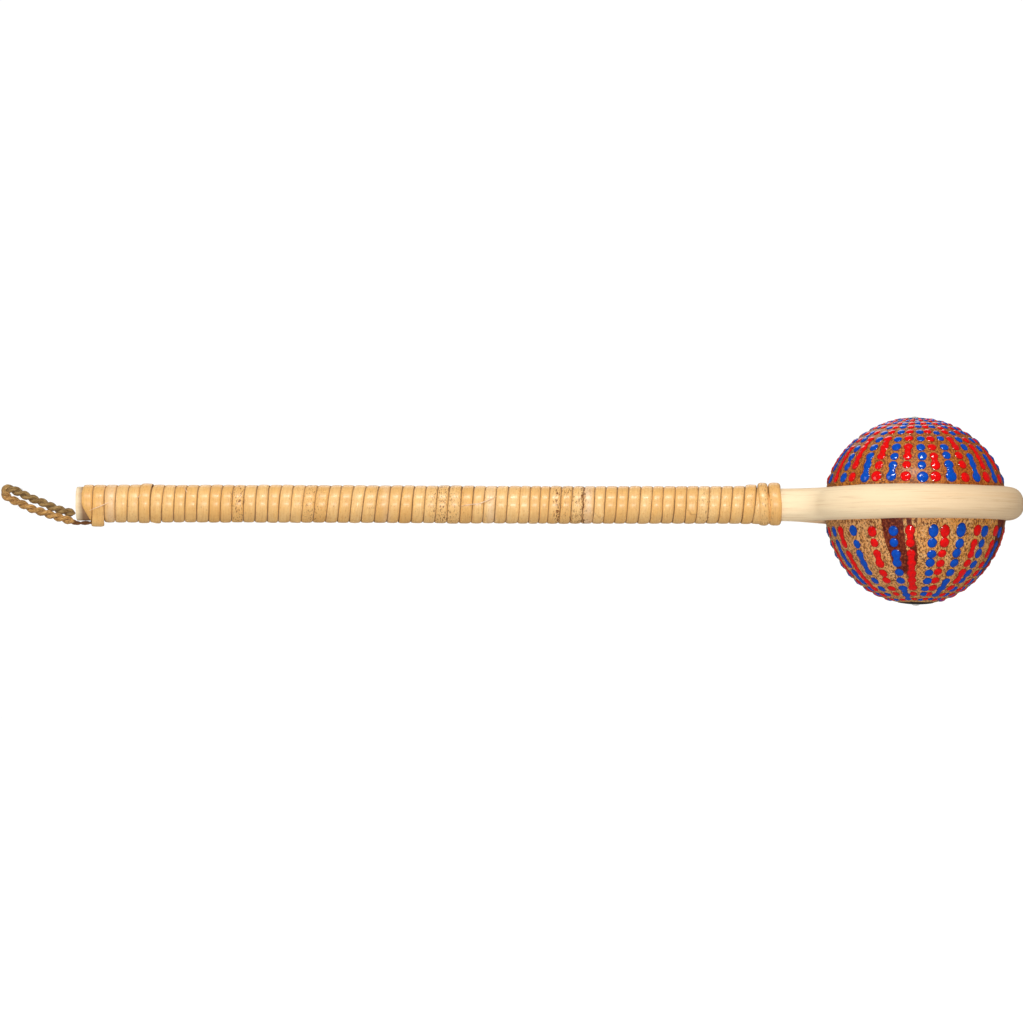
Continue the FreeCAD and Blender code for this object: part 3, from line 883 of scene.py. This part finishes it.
def build_butt_binding():
    """A pointed start that widens round the butt, then a turn that holds the cord's tail down."""
    start = winding(SPLICES_X[0]) - BUTT_WOUND
    wound = np.arange(start, winding(SPLICES_X[0]) + 14.0, WOUND_STEP)
    from_start, to_end = wound - start, wound[-1] - wound
    right = turn_edge(wound + 360.0) - STRIP_GAP / 2
    first, last = BUTT_POINT_DEG
    grown = 0.03 + 0.97 * ease((from_start - first) / (last - first))
    width = (right - turn_edge(wound) - STRIP_GAP / 2) * grown
    front = np.clip(-np.sin(np.radians(wound)), 0.0, 1.0)
    left = np.maximum(right - width, CORE_SHOWN_X + 1.2 * front * (from_start < BUTT_HOLD_DEG))
    thick = STRIP_T * (0.5 + 0.5 * ease(from_start / 50.0)) * (0.45 + 0.55 * ease(to_end / TUCK_DEG))
    off = (90.0 - wound - TAIL_ANGLE + 180.0) % 360.0 - 180.0
    inner = STRIP_R + TAIL_RISE * near(off, 0.0, TAIL_HALF_SPAN) * (from_start > BUTT_HOLD_DEG)
    make_strip("butt_peel", "butt_binding", wound, left, right, inner, thick, 8)


NECK_WOUND = (90.0, 810.0)  # two turns, in degrees from the top of the handle
NECK_T = 2.5  # two layers of peel
NECK_FIRST_FROM = 4.1  # from the start of the binding to the middle of its first turn
NECK_BACK_LEAN = 1.9  # over 1, the turns step along at the back and lean back at the front
NECK_HALF_WIDTH = (2.75, 3.35)  # of the first turn and of the second


def build_neck_binding():
    """Two turns over the first layer that close the binding at the neck."""
    first, last = NECK_WOUND
    wound = np.arange(first, last + 1.0, WOUND_STEP)
    from_start, to_end = wound - wound[0], wound[-1] - wound
    lean = NECK_BACK_LEAN * PITCH / (2 * np.pi) * np.sin(np.radians(from_start))
    first_turn = NECK_BINDING_X + NECK_FIRST_FROM
    middle = first_turn + PITCH * (from_start - 180.0) / 360.0 + lean
    middle = np.clip(middle, first_turn - 0.4, first_turn + PITCH)
    middle = middle + 0.12 * wander(wound, 200.0, 59)
    narrow, wide = NECK_HALF_WIDTH
    half = narrow + (wide - narrow) * ease((wound - 400.0) / 160.0)
    left = middle - half * (0.35 + 0.65 * ease(from_start / 60.0))
    right = middle + half - 1.6 * (1 - ease(to_end / 50.0))
    thick = NECK_T * (0.55 + 0.45 * ease(from_start / 60.0)) * (0.6 + 0.4 * ease(to_end / 40.0))
    inner = STRIP_R + 0.45 * np.cos(np.radians(wound))
    # whole turns are added, so that its tint and painted gap shade run on from the first layer's
    wound = wound + math.floor(float(winding(NECK_BINDING_X)) / 360.0) * 360.0
    make_strip("neck_peel", "neck_binding", wound, left, right, inner, thick, 9)


# Split fibres on the front of the binding, each by x, z and its height over the peel.
SPLINTERS = (((7.5, -4.2, 0.05), (10.8, -2.8, 0.15), (14.0, -1.6, 0.18), (18.5, 0.6, 0.1)),
             ((210.9, -1.2, 0.05), (216.1, -0.3, 0.35), (221.0, 0.3, 0.45), (226.0, 2.2, 0.4),
              (230.5, 4.3, 0.1)),
             ((33.5, 2.6, 0.1), (35.5, 4.2, 0.3), (36.6, 6.4, 0.2)),
             ((59.0, 9.0, 0.1), (60.2, 7.4, 0.25), (61.2, 5.6, 0.1)))


def on_handle(x, z, lift_off):
    """A point on the front of the binding."""
    r = STRIP_R + STRIP_T + lift_off
    return (x, -math.sqrt(r * r - z * z), z + sag(x))


def build_splinters():
    """Pale fibres that have split off the peel and lie over the turns."""
    parts = []
    for places in SPLINTERS:
        curve = smooth_line([on_handle(*place) for place in places], 0.4)
        taper = 0.07 + 0.21 * np.sin(np.pi * np.linspace(0.0, 1.0, len(curve))) ** 0.7
        full = np.ones(len(curve))
        values = {"rim": 0 * full, "scorch": 0 * full, "pale": full, "tint": full}
        parts.append(tube(curve, taper[:, None], 8, values))
    make_piece("peel_splinters", join(parts), PEEL)


# ---- the cord ----
TWIST_LEAD = 10.4
CORD_STEP = 0.32
# Down the cord's middle: from its blunt end by the butt, out along the upper leg, round the
# bend and back along the lower leg, then on into the binding.
LOOP_LINE = ((-1.2, 0.9, -5.4), (-7.3, 0.8, -4.1), (-13.1, 0.7, -2.1), (-19.0, 0.5, 0.6),
             (-25.0, 0.3, 2.9), (-30.8, 0.1, 5.6), (-36.0, 0.0, 7.9), (-39.2, 0.0, 7.7),
             (-39.9, 0.0, 5.6), (-37.2, -0.1, 2.9), (-30.8, -0.2, 0.0), (-25.0, -0.4, -2.8),
             (-19.0, -0.6, -4.7), (-15.1, -0.8, -6.0), (-11.2, -1.1, -7.2), (-7.3, -1.4, -8.4),
             (-3.3, -1.8, -9.5))
TAIL_LINE = ((-4.1, -1.7, -9.3), (-2.6, -1.9, -9.8), (-1.0, -2.0, -10.4), (0.8, -2.1, -10.75),
             (3.2, -2.1, -10.7), (6.5, -2.1, -10.6), (11.0, -2.1, -10.55))
BLUNT_END = 2.2  # length over which the cut end closes in
PLY_R = 1.24
PLY_OFFSET = 1.14  # of a ply's middle from the cord's
FIRST_TURN = 0.4  # radians, at the blunt end
TAIL_OVERLAP = 0.8  # length that the tail and the loop share


def twisted(line, ply_r, offset, start_turn, shade, seed):
    """Two plies twisted about a line; ply_r and offset are given at each point."""
    lengths, across, other = line_frame(line)
    parts = []
    for ply in range(2):
        turn = start_turn + np.pi * ply - 2 * np.pi * lengths / TWIST_LEAD
        middle = line + (across * np.cos(turn)[:, None] + other * np.sin(turn)[:, None]) * offset[:, None]
        sides = 26
        around = circle(sides)
        strands = np.cos(7 * (around[None] + lengths[:, None] * 0.55)) * 0.045
        spots = np.broadcast_arrays(lengths[:, None] * 0.5, np.cos(around), np.sin(around))
        lumps = 0.07 * relief(np.stack(spots, -1), 0.6, seed + ply)
        radius = ply_r[:, None] * (1.0 + strands + lumps)
        parts.append(tube(middle, radius, sides, {"shade": shade}))
    return parts


def stray_fibres(line, reach, shade, count, seed):
    """Fine fibres that stand off the cord."""
    luck = np.random.default_rng(seed)
    _, across, other = line_frame(line)
    parts = []
    for _ in range(count):
        at = int(luck.integers(4, len(line) - 20))
        turn = luck.uniform(0.0, 2 * np.pi)
        out = across[at] * math.cos(turn) + other[at] * math.sin(turn)
        ahead = line[at + 12] - line[at]
        root = line[at] + out * reach * 0.75
        tip = root + ahead * luck.uniform(0.5, 1.1) + out * luck.uniform(0.5, 1.5)
        knee = (root + tip) / 2 + out * luck.uniform(0.1, 0.5)
        hair = smooth_line([root, knee, tip], 0.4)
        taper = np.linspace(0.075, 0.03, len(hair))[:, None]
        parts.append(tube(hair, taper, 5, {"shade": np.full(len(hair), shade[at])}))
    return parts


def build_cord():
    line = smooth_line(LOOP_LINE, CORD_STEP)
    lengths = lengths_along(line)
    total = lengths[-1]
    shade = ease((lengths / total - 0.42) / 0.16) * 0.9 + 0.08 * wander(lengths, 6.0, 61)
    shade = np.clip(shade, 0.0, 1.0)
    blunt = 0.55 + 0.45 * ease(lengths / BLUNT_END)
    ply_r = PLY_R * blunt * (1.0 + 0.14 * near(lengths / total, 0.47, 0.14))
    offset = PLY_OFFSET * (0.7 + 0.3 * ease(lengths / BLUNT_END))
    parts = twisted(line, ply_r, offset, FIRST_TURN, shade, 62)
    parts += stray_fibres(line, 2.2, shade, 26, 64)
    loop = make_piece("hang_loop", join(parts), CORD, ["cord_ply_a", "cord_ply_b"], None)
    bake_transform(loop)
    end_turn = FIRST_TURN - 2 * np.pi * (total - TAIL_OVERLAP) / TWIST_LEAD
    tail = smooth_line(TAIL_LINE, CORD_STEP)
    thin = ease((lengths_along(tail) - 1.0) / 3.2)
    tail_shade = 0.9 + 0.9 * thin
    parts = twisted(tail, PLY_R - 0.60 * thin, PLY_OFFSET - 0.62 * thin, end_turn, tail_shade, 66)
    root = make_piece("cord_tail_strands", join(parts), CORD, ["cord_tail", "cord_neck"], None)
    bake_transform(root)


# ---- the seeds inside ----
def build_seeds():
    """Each row of round CAD seeds is replaced by ridged, uneven ones of the same reach."""
    for node in sorted(frame["nodes"]):
        body = frame["nodes"][node]["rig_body"]
        if body.startswith("seeds"):
            balls = seed_balls(node)
            parts = [seed_part(middle, radius, i) for i, (middle, radius) in enumerate(balls)]
            make_piece(body + "_nuts", join(parts), SEED, [node], body)


SEED_REACH = 7.6  # two points this near each other are on one seed


def seed_balls(node):
    """The middle and radius of each separate ball in a CAD node."""
    points = np.array([v.co for v in frame["nodes"][node].data.vertices]) / MM
    balls = []
    while len(points):
        same = np.linalg.norm(points - points[0], axis=1) < SEED_REACH
        low, high = points[same].min(0), points[same].max(0)
        balls.append(((low + high) / 2, float((high - low).min()) / 2))
        points = points[~same]
    return balls


def seed_part(middle, radius, seed):
    """A slightly flattened seed with five soft ridges."""
    rise = np.linspace(-np.pi / 2, np.pi / 2, 22)[1:-1, None]
    turn = circle(32)[None]
    unit = np.broadcast_arrays(np.cos(rise) * np.cos(turn), np.cos(rise) * np.sin(turn), np.sin(rise))
    unit = np.stack(unit, -1)
    shape = 0.90 + 0.05 * np.cos(5 * turn) * np.cos(rise) ** 2 + 0.05 * relief(unit, 0.6, 70 + seed)
    grid = middle + unit * (radius * shape)[..., None] * (1.0, 0.94, 0.88)
    return closed_sweep(grid[:, ::-1], {})


# ---- floor, light and camera, in metres ----
FLOOR_Z = -0.30
ROOM_LIGHT = 0.375
ROOM_REFLECTION = 0.08
ROOM_SEEN = 1.05
VIEW_ELEVATION = -1.7  # degrees; the camera stands a little below the handle
VIEW_DISTANCE = 2.5
VIEW_WIDTH = 0.56265  # across the picture at the object
VIEW_TARGET = Vector((0.2387, 0.0, -0.0046))


def build_floor():
    f = Finish("pale_floor")
    soft = f.noise(f.place(), 900.0, 2.0)
    colour = f.mix(soft, rgb(226, 226, 226), rgb(220, 220, 220))
    path = f.add("LightPath", {})
    colour = f.mix(path.outputs["Is Glossy Ray"], colour, rgb(110, 110, 110))
    material = f.done(colour, 0.9, light=0.1)
    glow = f.times(path.outputs["Is Camera Ray"], 0.75)
    f.fill(f.surface, {"Emission Color": (1.0, 1.0, 1.0, 1.0), "Emission Strength": glow})
    half = 12000.0
    corners = np.array([(-half, -half), (half, -half), (half, half), (-half, half)])
    points = np.column_stack([corners, np.full(4, FLOOR_Z / MM)])
    make_object("floor", (points, [np.array([[0, 1, 2, 3]])], {}), material)


def aim(name, data, azimuth, elevation, distance):
    """Puts a light or camera so that it looks at the rattle's middle. Azimuth 0 is the front."""
    turn, rise = math.radians(azimuth), math.radians(elevation)
    back = Vector((math.sin(turn) * math.cos(rise), -math.cos(turn) * math.cos(rise), math.sin(rise)))
    aimed = add_object(name, data)
    aimed.location = VIEW_TARGET + back * distance
    aimed.rotation_mode = "QUATERNION"
    aimed.rotation_quaternion = back.to_track_quat("Z", "Y")
    return aimed


def soft_box(name, azimuth, elevation, distance, width, height, power):
    data = bpy.data.lights.new(name, "AREA")
    data.shape = "RECTANGLE"
    data.size = width
    data.size_y = height
    data.energy = power
    aim(name, data, azimuth, elevation, distance)


def build_light():
    """A white room that lights softly, reflects dimly and is seen as pure white, and four soft boxes."""
    world = bpy.data.worlds.new("white_room")
    bpy.context.scene.world = world
    nodes = Nodes(world)
    path = nodes.add("LightPath", {})
    level = nodes.level(path.outputs["Is Glossy Ray"], 0.0, 1.0, ROOM_LIGHT, ROOM_REFLECTION)
    level = nodes.level(path.outputs["Is Camera Ray"], 0.0, 1.0, level, ROOM_SEEN)
    room = nodes.add("Background", {"Color": (1.0, 1.0, 1.0, 1.0), "Strength": level})
    nodes.add("OutputWorld", {"Surface": room.outputs[0]})
    soft_box("upper_front_box", 0.0, 46.0, 2.2, 0.80, 0.26, 24.0)
    soft_box("front_box", 0.0, -2.7, 3.0, 0.60, 0.18, 29.0)
    soft_box("left_box", -60.0, 20.0, 2.6, 0.8, 0.8, 5.5)
    soft_box("back_box", 180.0, 40.0, 2.6, 1.6, 1.4, 12.0)


def build_camera():
    data = bpy.data.cameras.new("camera")
    data.sensor_width = 36.0
    data.lens = data.sensor_width * VIEW_DISTANCE / VIEW_WIDTH
    data.clip_end = 100.0
    bpy.context.scene.camera = aim("camera", data, 0.0, VIEW_ELEVATION, VIEW_DISTANCE)
    bpy.context.scene.view_settings.view_transform = "Standard"


build_hoop()
build_shell("upper_nut_half", "upper_shell", UPPER_H, 1, UPPER_NUT)
build_shell("lower_nut_half", "lower_shell", LOWER_H, -1, LOWER_NUT)
build_dots()
build_poles()
build_handle_strips()
build_butt_binding()
build_neck_binding()
build_splinters()
build_cord()
build_seeds()
frame["nodes"]["tip_peg"].data.materials.clear()
frame["nodes"]["tip_peg"].data.materials.append(PEG)
build_floor()
build_light()
build_camera()
